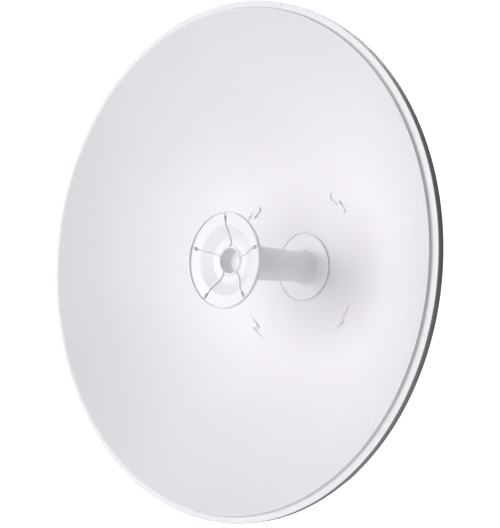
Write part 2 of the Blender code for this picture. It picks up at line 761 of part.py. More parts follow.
def main():
    clear_scene()
    white_paint = material("white_powder_coat", (0.86, 0.86, 0.87), 0.45)
    white_plastic = material("white_feed_plastic", (0.88, 0.88, 0.90), 0.35)
    zinc = material("zinc_plated_steel", (0.62, 0.63, 0.64), 0.35, 1.0)
    brass = material("plated_brass", (0.78, 0.66, 0.38), 0.30, 1.0)
    axis = bpy.data.objects.new("antenna_axis", None)
    bpy.context.scene.collection.objects.link(axis)
    axis.rotation_euler = (math.radians(90), 0, 0)
    make_reflector(axis, white_paint)
    make_back_plate(axis, white_paint)
    make_feed(axis, white_plastic, brass)
    make_sub_reflector(axis, white_plastic)
    make_dish_bracket(zinc)
    make_pole_bracket(zinc)
    make_pole_clamp(zinc)
    make_fasteners(zinc)


main()
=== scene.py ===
"""Studio looks of the parabolic dish antenna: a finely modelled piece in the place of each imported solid."""

import math

import bmesh
import bpy
from mathutils import Matrix, Vector


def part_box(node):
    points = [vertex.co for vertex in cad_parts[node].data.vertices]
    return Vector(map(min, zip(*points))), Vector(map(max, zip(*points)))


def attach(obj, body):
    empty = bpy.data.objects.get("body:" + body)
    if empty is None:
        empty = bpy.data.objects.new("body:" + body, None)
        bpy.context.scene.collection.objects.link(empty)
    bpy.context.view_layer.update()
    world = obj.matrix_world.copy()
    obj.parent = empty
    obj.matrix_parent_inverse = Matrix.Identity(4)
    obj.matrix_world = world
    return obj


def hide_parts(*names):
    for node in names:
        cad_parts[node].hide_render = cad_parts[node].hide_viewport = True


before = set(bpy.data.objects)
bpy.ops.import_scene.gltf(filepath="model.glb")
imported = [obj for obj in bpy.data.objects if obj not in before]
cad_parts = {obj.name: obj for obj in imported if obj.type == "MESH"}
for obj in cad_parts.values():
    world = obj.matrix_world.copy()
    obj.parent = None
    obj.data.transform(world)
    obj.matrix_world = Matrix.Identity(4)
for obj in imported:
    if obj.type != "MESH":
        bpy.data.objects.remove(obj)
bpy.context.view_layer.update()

# Reference planes and radii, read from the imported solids
DISH_LOW, DISH_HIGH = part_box("reflector_dish")
CREST_Y = DISH_LOW.y
RIM_RADIUS = DISH_HIGH.x
FLOOR_Z = DISH_LOW.z
GAP = 0.0003

# Reflector: radii, depths behind the crest, and roundings
CREST_RADIUS = 0.3147
CREST_ROUND = 0.0002
BOWL_EDGE = CREST_RADIUS - 0.0030
BOWL_EDGE_BEHIND = CREST_RADIUS - 0.0025
LAND_RADIUS = 0.3154
LAND_DEPTH = 0.0003
LAND_ROUND = 0.0004
STEP_RADIUS = 0.3165
STEP_DEPTH = 0.0048
STEP_ROUND = 0.0022
STEP_INSET = 0.0008
FLANGE_DEPTH = 0.0050
FLANGE_ROUND = 0.0008
REAR_ROUND = 0.0006
SKIRT_DEPTH = 0.0145
BOWL_DEPTH = 0.15146
SHEET = 0.0015
SEAT_RADIUS = 0.0440
FEED_HOLE_RADIUS = 0.0204
MOAT_IN = 0.0420
MOAT_OUT = 0.0449
MOAT_DEPTH = 0.0010
MOAT_WALL = 0.0001
RIM_HOLE_RADIUS = 0.0014
RIM_HOLE_RING = 0.3216
RIM_HOLE_ANGLES = (60.4, 71.3)
BOWL_LINES = 52
LINE_SPACING = 0.0015
GRID_STEP = 1.25
GRID_SPACING = 0.35 * GRID_STEP

# Twist lock: slots in the dish and tongues of the back plate, with places along their ring in degrees
LOCK_ANGLES = (45.0, 135.0, 225.0, 315.0)
LOCK_RADIUS = 0.1048
SLOT_WIDTH = 0.0078
SLOT_START = -3.0
SLOT_END = 9.6
TONGUE_WIDTH = 0.0060
TONGUE_SHEET = 0.0018
TONGUE_FOOT = 3.4
TONGUE_RISE = 1.4
TONGUE_TIP = -8.8
TONGUE_BEND = 0.0016
TONGUE_ROUND = 0.0030
TONGUE_BLUNTNESS = 0.03
TONGUE_CLEARANCE = 0.0001

# Corners of a tongue's cross-section, as shares of half its width and half its thickness
TONGUE_PROFILE = (
    (-1, -0.7), (-0.93, -1), (0.93, -1), (1, -0.7),
    (1, 0.7), (0.93, 1), (-0.93, 1), (-1, 0.7),
)

# Back plate: depths behind the crest, and bends at its web and flange
PLATE_SHEET = 0.0020
PLATE_WEB_DEPTH = 0.1560
PLATE_WEB_RADIUS = 0.0880
PLATE_FLANGE_IN = 0.0960
PLATE_FLANGE_OUT = 0.1180
WEB_BEND_FRONT = 0.0020
WEB_BEND_BACK = 0.0036
FLANGE_BEND_FRONT = 0.0030
FLANGE_BEND_BACK = 0.0012

# Feed
TUBE_FRONT_RADIUS = 0.0226
TUBE_FOOT_RADIUS = 0.0197
TUBE_WALL = 0.0020
TUBE_FRONT_DEPTH = 0.0240
TUBE_REAR_DEPTH = 0.1700
BASE_RADIUS = 0.0428
BASE_DEPTH = 0.1467
BASE_LIP = 0.0006
BASE_UNDERCUT = 0.0012
FLARE_RADIUS = 0.0100
FLARE_REACH = 0.0032
FLARE_LIP = 0.0001
BASE_CLEARANCE = 0.00005
NECK_FRONT_RADIUS = 0.0465
NECK_REAR_RADIUS = 0.0255
NECK_WALL = 0.0020
NECK_REAR_DEPTH = 0.0320
LOCK_RING_RADIUS = 0.0310
LOCK_RING_HEIGHT = 0.0070
GRIP_COUNT = 10
GRIP_DEPTH = 0.0012
HOUSING_SIDE = 0.0520
HOUSING_CORNER = 0.0080
HOUSING_LENGTH = 0.0230
HOUSING_ROUND = 0.0020
HOUSING_SEAM = 0.62 * HOUSING_LENGTH
HOUSING_SCREW_OFFSET = 0.0190
WELL_RADIUS = 0.0027
WELL_DEPTH = 0.0015

# A screw's rings: (radius, depth below the back of the housing)
SCREW_SECTION = ((0.0025, 0.0015), (0.0025, 0.0008), (0.0020, 0.0004), (0.0010, 0.0003))

# Connectors
CONNECTOR_SPACING = 0.0280
CONNECTOR_LENGTH = 0.0125
CONNECTOR_RADIUS = 0.0031
CONNECTOR_NUT_RADIUS = 0.0045
CONNECTOR_NUT_LENGTH = 0.0025
CONNECTOR_PITCH = 0.0007
CONNECTOR_THREAD = 0.0003
SOCKET_DEPTH = 0.0025

# Sub-reflector: (radius, depth behind the foot of its lip, rounding), from the floor of its throat outwards
SUB_RIM_DEPTH = -0.0014
SUB_SEAT_DEPTH = 0.0046
SUB_SECTION = (
    (0.0147, 0.0265, 0.0006),
    (0.0155, 0.0100, 0.0006),
    (0.0162, 0.0088, 0.0003),
    (0.0178, 0.0088, 0.0006),
    (0.0195, 0.0106, 0.0010),
    (0.0225, 0.0114, 0.0025),
    (0.0290, 0.0098, 0.0030),
    (0.0440, 0.0012, 0.0030),
    (0.0589, -0.0004, 0.0002),
    (0.0591, -0.0030, 0.0003),
    (0.0597, -0.0030, 0.0005),
    (0.0605, -0.0010, 0.0010),
    (0.0605, 0.0014, 0.0003),
    (0.0590, 0.0028, 0.0006),
    (0.0555, 0.0064, 0.0006),
    (0.0488, 0.0064, 0.0004),
    (0.0480, 0.0046, 0.0004),
    (0.0440, 0.0046, 0.0010),
    (0.0275, 0.0118, 0.0010),
    (0.0225, 0.0134, 0.0006),
    (0.0178, 0.0134, 0.0003),
    (0.0171, 0.0283, 0.0005),
)

# Pockets and small holes at the ribs' ends, cut between two depths behind the foot of the lip
POCKET_IN = 0.0484
POCKET_OUT = 0.0555
POCKET_HALF_IN = 0.0015
POCKET_HALF_OUT = 0.0023
POCKET_ROUND = 0.0006
POCKET_CUT = (-0.0040, 0.0052)
PEG_HOLE_REACH = 0.0576
PEG_HOLE_RADIUS = 0.0011
PEG_HOLE_CUT = (-0.0045, 0.0080)

# Ribs, whose feet follow a path of (radius, depth behind the foot of the lip), and their hub
RIB_ANGLES = (12.2, 86.6, 158.6, 230.6, 302.6)
RIB_WIDTH = 0.0016
RIB_SHOULDER = 0.45
RIB_HEIGHT = 0.0017
RIB_PATH = (
    (0.0170, 0.0083),
    (0.0178, 0.0083),
    (0.0196, 0.0101),
    (0.0224, 0.0109),
    (0.0288, 0.0093),
    (0.0436, 0.0008),
    (0.0486, 0.0003),
    (0.0492, 0.0009),
    (0.0504, 0.0034),
    (0.0520, 0.0046),
    (0.0536, 0.0034),
    (0.0549, 0.0002),
    (0.0556, -0.0003),
    (0.0567, -0.0005),
)
HUB_INNER = 0.0160
HUB_OUTER = 0.0176
HUB_TOP = 0.0083
HUB_FOOT = 0.0085

# Steel mount
BRACKET_SHEET = 0.0030
BEND_RADIUS = 0.0050
CHEEK_SPAN = 0.1200
CHEEK_HEIGHT = 0.1100
CHEEK_REAR_DEPTH = 0.2320
CHEEK_REAR_HEIGHT = 0.0780
CHEEK_TAPER_DEPTH = 0.1800
BRACKET_BOLT_OFFSET = 0.0380
EAR_FRONT_DEPTH = 0.2030
EAR_HEIGHT = 0.0760
EAR_SPAN = CHEEK_SPAN - 2 * BRACKET_SHEET - 2 * GAP
TILT_AXIS_DEPTH = 0.2170
TILT_BOLT_HEIGHT = 0.0240
TILT_SLOT_ANGLE = 13.0
POLE_RADIUS = 0.0250
JAW_APEX = 0.0060
JAW_REACH = 0.0320
JAW_TIP_HALF_WIDTH = 0.0440
JAW_TEETH = 6
TOOTH_DEPTH = 0.0014
CLAMP_BOLT_X = 0.0420
CLAMP_BOLT_Z = 0.0220
EDGE_ROUND = 0.0004

# M8 fasteners
BOLT_RADIUS = 0.0040
BOLT_HOLE_RADIUS = 0.0043
THREAD_PITCH = 0.00125
THREAD_DEPTH = 0.00055
THREAD_SAMPLES = 6
THREAD_LEAD = 0.0004
THREAD_END = 0.0010
TIP_CHAMFER = 0.0006
HEX_CORNER_RADIUS = 0.0075
HEX_CHAMFER = 0.97
HEX_HEAD_HEIGHT = 0.0055
WASHER_FACE_RADIUS = 0.0062
WASHER_FACE_HEIGHT = 0.0004
NUT_HEIGHT = 0.0065
NUT_BORE_RADIUS = 0.0041
NUT_SINK_RADIUS = 0.0046
NUT_SINK_DEPTH = 0.0005
DOME_RADIUS = 0.0100
DOME_HEIGHT = 0.0045
BRACKET_BOLT_LENGTH = 0.0180
TILT_BOLT_LENGTH = 0.0180
CLAMP_BOLT_LENGTH = 0.1050
SHORT_PLAIN = 0.0040
LONG_PLAIN = 0.0120

# Meshes and cuts
CUT_MARGIN = 0.0020
CROSS_REACH = 0.0800
SMOOTH_ANGLE = math.radians(32)
BEVEL_ANGLE = math.radians(40)
STRAIGHT_ANGLE = math.radians(178)
DISC_SEGMENTS = 144
FEED_SEGMENTS = 128
HUB_SEGMENTS = 96
HEX_SEGMENTS = 48
DOME_SEGMENTS = 24

# Studio: each soft box has its direction left of the boresight and above it, its side and its power
BACKDROP_STRENGTH = 1.3
FRONT_GLOW = 1.45
GLOW_FOCUS = 7
FLOOR_GLOW = 0.98
FLOOR_HALF = 6.0
FLOOR_DROP = 0.0005
LIGHT_DISTANCE = 3.2
LIGHT_AIM_DEPTH = 0.0500
SOFT_BOXES = (
    ("front_wide", 15, -2, 3.4, 38.5),
    ("front_left", 38, 10, 1.4, 20.5),
    ("front_upper", 8, 14, 1.4, 15.5),
    ("front_right", -18, -5, 1.6, 18.5),
    ("above", 0, 80, 3.2, 27.0),
    ("below", 0, -72, 3.2, 31.0),
    ("rear_left", 130, 12, 3.0, 50.0),
    ("rear_upper", 150, 40, 2.6, 60.0),
)

# Camera, fitted to the photograph: angles in degrees, lens and sensor in millimetres
CAMERA_AZIMUTH = 42.579
CAMERA_ELEVATION = -6.295
CAMERA_ROLL = -1.857
CAMERA_DISTANCE = 2.2
CAMERA_TARGET = Vector((0.0410, CREST_Y, -0.0087))
CAMERA_LENS = 122.27
CAMERA_SENSOR = 36
CAMERA_NEAR = 0.05


def spot(radius, angle, depth):
    """A point at a radius, a polar angle seen from in front, and a depth behind the rim's crest."""
    return Vector((radius * math.cos(angle), CREST_Y + depth, radius * math.sin(angle)))


def spread(first, last, steps):
    """Evenly spaced values from first to last, both included."""
    return [first + (last - first) * i / steps for i in range(steps + 1)]


def turns(segments):
    """Angles of a full turn in equal steps."""
    return [2 * math.pi * i / segments for i in range(segments)]


def filleted(points, radii, steps=5):
    """The closed outline with each corner rounded to its own radius, 0 for a sharp corner."""
    rounded = []
    count = len(points)
    for i, corner in enumerate(points):
        here = Vector(corner)
        before = (Vector(points[i - 1]) - here).normalized()
        after = (Vector(points[(i + 1) % count]) - here).normalized()
        opening = before.angle(after)
        if radii[i] <= 0 or opening > STRAIGHT_ANGLE:
            rounded.append(tuple(here))
            continue
        half = opening / 2
        reach = radii[i] / math.tan(half)
        start, end = here + before * reach, here + after * reach
        middle = here + (before + after).normalized() * (radii[i] / math.sin(half))
        first, last = start - middle, end - middle
        sweep = first.angle(last)
        for share in spread(0, 1, steps):
            arm = (first * math.sin((1 - share) * sweep) + last * math.sin(share * sweep)) / math.sin(sweep)
            rounded.append(tuple(middle + arm))
    return rounded


def softened(outline, steps=5):
    """The closed outline of (radius, depth, rounding) with each corner rounded."""
    return filleted([corner[:2] for corner in outline], [corner[2] for corner in outline], steps)


def mesh_of(shape, name):
    """The finished mesh, smooth but for its sharp edges."""
    bmesh.ops.recalc_face_normals(shape, faces=shape.faces)
    data = bpy.data.meshes.new(name)
    shape.to_mesh(data)
    shape.free()
    data.shade_smooth()
    data.set_sharp_from_angle(angle=SMOOTH_ANGLE)
    return data


def add_skin(shape, rings, closed=True):
    """A surface over rings of equal point count: last joined to first if closed, otherwise capped."""
    rows = [[shape.verts.new(point) for point in ring] for ring in rings]
    count = len(rows[0])
    pairs = list(zip(rows, rows[1:]))
    if closed:
        pairs.append((rows[-1], rows[0]))
    for first, second in pairs:
        for i in range(count):
            j = (i + 1) % count
            shape.faces.new((first[i], first[j], second[j], second[i]))
    if not closed:
        shape.faces.new(rows[0])
        shape.faces.new(rows[-1])


def skin(name, rings, closed=True):
    shape = bmesh.new()
    add_skin(shape, rings, closed)
    return mesh_of(shape, name)


def lathe_rings(section, segments):
    """Rings round the boresight from a section of (radius, depth)."""
    around = turns(segments)
    return [[spot(radius, angle, depth) for angle in around] for radius, depth in section]


def turned(name, section, segments, closed=True):
    return skin(name, lathe_rings(section, segments), closed)


def add_piece(name, data, look):
    piece = bpy.data.objects.new(name, data)
    bpy.context.scene.collection.objects.link(piece)
    data.materials.append(look)
    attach(piece, "root")
    return piece


def finish_piece(node, data, look):
    """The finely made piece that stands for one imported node."""
    piece = add_piece(f"fine_{node}", data, look)
    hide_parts(node)
    return piece


def bake(piece):
    """Applies the piece's modifiers."""
    graph = bpy.context.evaluated_depsgraph_get()
    data = bpy.data.meshes.new_from_object(piece.evaluated_get(graph))
    piece.modifiers.clear()
    piece.data = data
    data.shade_smooth()
    data.set_sharp_from_angle(angle=SMOOTH_ANGLE)


def combine(piece, other_data, operation):
    """Joins a shape, or several that lie apart, to the piece, or cuts them out of it."""
    other = bpy.data.objects.new("other", other_data)
    bpy.context.scene.collection.objects.link(other)
    modifier = piece.modifiers.new("combine", "BOOLEAN")
    modifier.operation = operation
    modifier.object = other
    bake(piece)
    bpy.data.objects.remove(other)


def subtract(piece, cutter_data):
    combine(piece, cutter_data, "DIFFERENCE")


def soften_edges(piece):
    """Rounds the piece's sharp edges a little."""
    modifier = piece.modifiers.new("edges", "BEVEL")
    modifier.width = EDGE_ROUND
    modifier.segments = 2
    modifier.limit_method = "ANGLE"
    modifier.angle_limit = BEVEL_ANGLE
    modifier.harden_normals = False
    bake(piece)


# Materials
def new_look(name, color, roughness, metallic=0.0):
    look = bpy.data.materials.new(name)
    look.use_nodes = True
    nodes, links = look.node_tree.nodes, look.node_tree.links
    shader = nodes["Principled BSDF"]
    shader.inputs["Base Color"].default_value = (*color, 1)
    shader.inputs["Roughness"].default_value = roughness
    shader.inputs["Metallic"].default_value = metallic
    return look, nodes, links, shader


def noise(nodes, links, scale, detail=3.0, rough=0.5, stretch=(1, 1, 1)):
    """Noise in object space, with an optional stretch of its axes."""
    where = nodes.new("ShaderNodeTexCoord")
    mapping = nodes.new("ShaderNodeMapping")
    mapping.inputs["Scale"].default_value = stretch
    texture = nodes.new("ShaderNodeTexNoise")
    texture.inputs["Scale"].default_value = scale
    texture.inputs["Detail"].default_value = detail
    texture.inputs["Roughness"].default_value = rough
    links.new(where.outputs["Object"], mapping.inputs["Vector"])
    links.new(mapping.outputs["Vector"], texture.inputs["Vector"])
    return texture.outputs["Fac"]


def ramp(nodes, links, value, low, high, first, last):
    """Maps a value between two limits to a number range."""
    node = nodes.new("ShaderNodeMapRange")
    node.inputs["From Min"].default_value = low
    node.inputs["From Max"].default_value = high
    node.inputs["To Min"].default_value = first
    node.inputs["To Max"].default_value = last
    links.new(value, node.inputs["Value"])
    return node.outputs["Result"]


def tint(nodes, links, value, first, last):
    node = nodes.new("ShaderNodeMix")
    node.data_type = "RGBA"
    node.inputs["A"].default_value = (*first, 1)
    node.inputs["B"].default_value = (*last, 1)
    links.new(value, node.inputs["Factor"])
    return node.outputs["Result"]


def bump(nodes, links, height, strength, distance):
    node = nodes.new("ShaderNodeBump")
    node.inputs["Strength"].default_value = strength
    node.inputs["Distance"].default_value = distance
    links.new(height, node.inputs["Height"])
    return node.outputs["Normal"]


def dress(links, shader, color, roughness, relief=None):
    """Joins a look's colour, roughness and surface relief to its shader."""
    links.new(color, shader.inputs["Base Color"])
    links.new(roughness, shader.inputs["Roughness"])
    if relief:
        links.new(relief, shader.inputs["Normal"])


def powder_coat():
    """White satin powder coat: a fine orange peel and a faint cloudiness."""
    look, nodes, links, shader = new_look("white_powder_coat", (0.80, 0.78, 0.82), 0.42)
    cloud = ramp(nodes, links, noise(nodes, links, 7.0, 2.0), 0.35, 0.65, 0, 1)
    color = tint(nodes, links, cloud, (0.795, 0.772, 0.810), (0.812, 0.790, 0.825))
    gloss = ramp(nodes, links, noise(nodes, links, 60.0), 0.3, 0.7, 0.38, 0.48)
    peel = bump(nodes, links, noise(nodes, links, 900.0, 2.0), 0.25, 0.00008)
    dress(links, shader, color, gloss, peel)
    return look


def feed_plastic():
    """Smooth moulded plastic with a fine spark-eroded grain."""
    look, nodes, links, shader = new_look("white_feed_plastic", (0.82, 0.80, 0.84), 0.36)
    shade = ramp(nodes, links, noise(nodes, links, 25.0), 0.35, 0.65, 0, 1)
    color = tint(nodes, links, shade, (0.815, 0.795, 0.84), (0.83, 0.81, 0.85))
    grain = noise(nodes, links, 2200.0, 2.0)
    gloss = ramp(nodes, links, grain, 0.3, 0.7, 0.32, 0.42)
    dress(links, shader, color, gloss, bump(nodes, links, grain, 0.2, 0.00004))
    return look


def zinc(name, roughness, stretch=(1, 1, 1)):
    """Bright zinc plate: bluish clouds, rolling marks and a fine grain."""
    look, nodes, links, shader = new_look(name, (0.66, 0.67, 0.69), roughness, 0.75)
    clouds = ramp(nodes, links, noise(nodes, links, 40.0, 4.0, 0.6), 0.35, 0.65, 0, 1)
    color = tint(nodes, links, clouds, (0.60, 0.61, 0.64), (0.72, 0.72, 0.71))
    marks = noise(nodes, links, 500.0, 3.0, 0.6, stretch)
    gloss = ramp(nodes, links, marks, 0.3, 0.7, roughness - 0.06, roughness + 0.10)
    dress(links, shader, color, gloss, bump(nodes, links, marks, 0.25, 0.00005))
    return look


def plated_brass():
    """Yellow plating, a little worn."""
    look, nodes, links, shader = new_look("plated_brass", (0.72, 0.56, 0.26), 0.25, 1.0)
    wear = noise(nodes, links, 300.0, 3.0)
    color = tint(nodes, links, wear, (0.70, 0.53, 0.22), (0.80, 0.66, 0.36))
    dress(links, shader, color, ramp(nodes, links, wear, 0.3, 0.7, 0.2, 0.34))
    return look


PAINT = powder_coat()
PLASTIC = feed_plastic()
ZINC_SHEET = zinc("zinc_plated_sheet", 0.45, (1, 1, 0.08))
ZINC_BOLT = zinc("zinc_plated_fasteners", 0.36)
BRASS = plated_brass()


# Reflector
def bowl(radius, offset=0.0):
    """(radius, depth) of a point on the paraboloid, moved backwards along its normal."""
    depth = BOWL_DEPTH * (1 - (radius / CREST_RADIUS) ** 2)
    slope = 2 * BOWL_DEPTH * radius / CREST_RADIUS**2
    length = math.hypot(slope, 1)
    return radius + offset * slope / length, depth + offset / length


def rim_section():
    """From the crest over the step, the flange and the skirt, round its hem and back under the flange."""
    outline = [
        (*bowl(BOWL_EDGE), 0),
        (CREST_RADIUS, 0.0, CREST_ROUND),
        (LAND_RADIUS, LAND_DEPTH, LAND_ROUND),
        (STEP_RADIUS, STEP_DEPTH, STEP_ROUND),
        (RIM_RADIUS, FLANGE_DEPTH, FLANGE_ROUND),
        (RIM_RADIUS, SKIRT_DEPTH, EDGE_ROUND),
        (RIM_RADIUS - SHEET, SKIRT_DEPTH, EDGE_ROUND),
        (RIM_RADIUS - SHEET, FLANGE_DEPTH + SHEET, REAR_ROUND),
        (STEP_RADIUS - STEP_INSET, STEP_DEPTH + SHEET, REAR_ROUND),
        (*bowl(BOWL_EDGE_BEHIND, SHEET), 0),
    ]
    return softened(outline, 4)[1:-1]


def dish_angles():
    """Grid angles in degrees, with a line at each end of every slot."""
    angles = [GRID_STEP * i for i in range(round(360 / GRID_STEP))]
    edges = [(centre + side) % 360 for centre in LOCK_ANGLES for side in (SLOT_START, SLOT_END)]
    kept = [a for a in angles if all(abs(a - e) > GRID_SPACING for e in edges)]
    return sorted(kept + edges)


def in_slot(angle, radius):
    """Whether a place on the dish, at an angle in degrees, lies in one of the slots."""
    for centre in LOCK_ANGLES:
        off = (angle - centre + 180) % 360 - 180
        if SLOT_START < off < SLOT_END and abs(radius - LOCK_RADIUS) < SLOT_WIDTH / 2:
            return True
    return False


def slotted_sheet(name, radii, front, back, rim, angles):
    """A turned sheet whose front and back are joined by a rim, a centre hole and the four slots."""
    shape = bmesh.new()
    around = [math.radians(angle) for angle in angles]
    count = len(around)
    fronts = [[shape.verts.new(spot(front(r)[0], a, front(r)[1])) for a in around] for r in radii]
    backs = [[shape.verts.new(spot(back(r)[0], a, back(r)[1])) for a in around] for r in radii]
    edge = [[shape.verts.new(spot(r, a, s)) for a in around] for r, s in rim]

    def middle_angle(j):
        following = angles[(j + 1) % count] + (360 if j + 1 == count else 0)
        return (angles[j] + following) / 2

    def open_cell(k, j):
        if not 0 <= k < len(radii) - 1:
            return False
        return in_slot(middle_angle(j % count), (radii[k] + radii[k + 1]) / 2)

    for k in range(len(radii) - 1):
        for j in range(count):
            n = (j + 1) % count
            if not open_cell(k, j):
                shape.faces.new((fronts[k][j], fronts[k][n], fronts[k + 1][n], fronts[k + 1][j]))
                shape.faces.new((backs[k][j], backs[k + 1][j], backs[k + 1][n], backs[k][n]))
                continue
            sides = [
                (open_cell(k - 1, j), (k, j), (k, n)),
                (open_cell(k + 1, j), (k + 1, j), (k + 1, n)),
                (open_cell(k, j - 1), (k, j), (k + 1, j)),
                (open_cell(k, j + 1), (k, n), (k + 1, n)),
            ]
            for beside_open, one, two in sides:
                if not beside_open:
                    shape.faces.new((fronts[one[0]][one[1]], fronts[two[0]][two[1]],
                                     backs[two[0]][two[1]], backs[one[0]][one[1]]))
    loop = [fronts[-1]] + edge + [backs[-1]]
    loop_pairs = list(zip(loop, loop[1:])) + [(backs[0], fronts[0])]
    for first, second in loop_pairs:
        for j in range(count):
            n = (j + 1) % count
            shape.faces.new((first[j], first[n], second[n], second[j]))
    return mesh_of(shape, name)


def make_dish():
    """The bowl with a flat seat and a narrow moat for the feed's base, slots, rim and rim holes."""
    lines = spread(SEAT_RADIUS, BOWL_EDGE, BOWL_LINES)
    edges = [LOCK_RADIUS - SLOT_WIDTH / 2, LOCK_RADIUS + SLOT_WIDTH / 2]
    lines = sorted([r for r in lines if all(abs(r - e) > LINE_SPACING for e in edges)] + edges)
    seat = bowl(SEAT_RADIUS)[1]
    lines = [r for r in lines if r > MOAT_OUT + MOAT_WALL]
    moat = [MOAT_IN, MOAT_IN + MOAT_WALL, MOAT_OUT, MOAT_OUT + MOAT_WALL]
    radii = spread(FEED_HOLE_RADIUS, MOAT_IN, 4)[:-1] + moat + lines

    def front(radius):
        if MOAT_IN < radius <= MOAT_OUT:
            return radius, seat + MOAT_DEPTH
        return bowl(radius) if radius >= SEAT_RADIUS else (radius, seat)

    def back(radius):
        return bowl(radius, SHEET) if radius >= SEAT_RADIUS else (radius, seat + SHEET)

    data = slotted_sheet("dish", radii, front, back, rim_section(), dish_angles())
    piece = finish_piece("reflector_dish", data, PAINT)
    holes = bmesh.new()
    for angle in RIM_HOLE_ANGLES:
        x, y, z = spot(RIM_HOLE_RING, math.radians(angle), FLANGE_DEPTH)
        drill(holes, x, z, y, y + SHEET, RIM_HOLE_RADIUS, 20)
    subtract(piece, mesh_of(holes, "rim_holes"))


def square(half):
    """The corners of a square, in order round it."""
    return [(-half, -half), (half, -half), (half, half), (-half, half)]


def corners(half_x, half_z):
    """The four corners of a rectangle about the axis, column by column."""
    return [(x, z) for x in (-half_x, half_x) for z in (-half_z, half_z)]


BRACKET_BOLTS = corners(BRACKET_BOLT_OFFSET, BRACKET_BOLT_OFFSET)
CLAMP_BOLTS = corners(CLAMP_BOLT_X, CLAMP_BOLT_Z)


def circle(first, second, radius, segments=32):
    """Points round the middle (first, second), as pairs in any plane."""
    return [(first + radius * math.cos(a), second + radius * math.sin(a)) for a in turns(segments)]


def drill(shape, x, z, y_low, y_high, radius, segments=32):
    """A cylinder along Y that reaches past both faces."""
    ring = circle(x, z, radius, segments)
    levels = (y_low - CUT_MARGIN, y_high + CUT_MARGIN)
    add_skin(shape, [[(px, y, pz) for px, pz in ring] for y in levels], False)


def tongue_rings(angle):
    """A bent strip from the plate's flange through the slot and over the dish's front, with a round tip."""
    flange = SHEET + GAP + PLATE_SHEET / 2
    front = -(GAP + TONGUE_SHEET / 2 + TONGUE_CLEARANCE)
    metres = LOCK_RADIUS * math.pi / 180
    tip = TONGUE_TIP * metres
    path = [
        (TONGUE_FOOT * metres, flange, 0),
        (TONGUE_RISE * metres, flange, TONGUE_BEND),
        (-TONGUE_RISE * metres, front, TONGUE_BEND),
        (tip, front, 0),
    ]
    bent = softened(path)[:-1]
    bent += [(tip + TONGUE_ROUND * (1 - math.sin(t)), front) for t in spread(0, math.pi / 2, 6)]
    rings = []
    for i, (u, v) in enumerate(bent):
        ahead = Vector(bent[min(i + 1, len(bent) - 1)])
        behind = Vector(bent[max(i - 1, 0)])
        run = (ahead - behind).normalized()
        side = Vector((-run.y, run.x))
        left = max(0.0, TONGUE_ROUND - (u - tip)) / TONGUE_ROUND
        half = TONGUE_WIDTH / 2 * math.sqrt(max(TONGUE_BLUNTNESS, 1 - left * left))
        ring = []
        for sideways, up in TONGUE_PROFILE:
            flat = Vector((u, v)) + side * up * TONGUE_SHEET / 2
            reach, depth = bowl(LOCK_RADIUS + sideways * half, flat.y)
            ring.append(spot(reach, math.radians(angle + flat.x / metres), depth))
        rings.append(ring)
    return rings


def make_back_plate():
    """A dished plate behind the bowl, with four bolt holes and the four tongues of the twist lock."""
    near = SHEET + GAP
    flange = spread(PLATE_FLANGE_IN, PLATE_FLANGE_OUT, 8)
    web, back = PLATE_WEB_DEPTH, PLATE_WEB_DEPTH + PLATE_SHEET
    outline = [(FEED_HOLE_RADIUS, web), (PLATE_WEB_RADIUS, web)]
    outline += [bowl(radius, near) for radius in flange]
    outline += [bowl(radius, near + PLATE_SHEET) for radius in reversed(flange)]
    outline += [(PLATE_WEB_RADIUS + PLATE_SHEET, back), (FEED_HOLE_RADIUS, back)]
    radii = [EDGE_ROUND] * len(outline)
    radii[1], radii[-2] = WEB_BEND_FRONT, WEB_BEND_BACK
    radii[2], radii[-3] = FLANGE_BEND_FRONT, FLANGE_BEND_BACK
    data = turned("back_plate", filleted(outline, radii), DISC_SEGMENTS)
    piece = finish_piece("back_plate", data, PAINT)
    holes = bmesh.new()
    for x, z in BRACKET_BOLTS:
        drill(holes, x, z, CREST_Y + web, CREST_Y + back, BOLT_HOLE_RADIUS)
    subtract(piece, mesh_of(holes, "plate_holes"))
    shape = bmesh.new()
    shape.from_mesh(piece.data)
    for angle in LOCK_ANGLES:
        add_skin(shape, tongue_rings(angle), False)
    joined = mesh_of(shape, "back_plate")
    joined.materials.append(PAINT)
    piece.data = joined


make_dish()
make_back_plate()


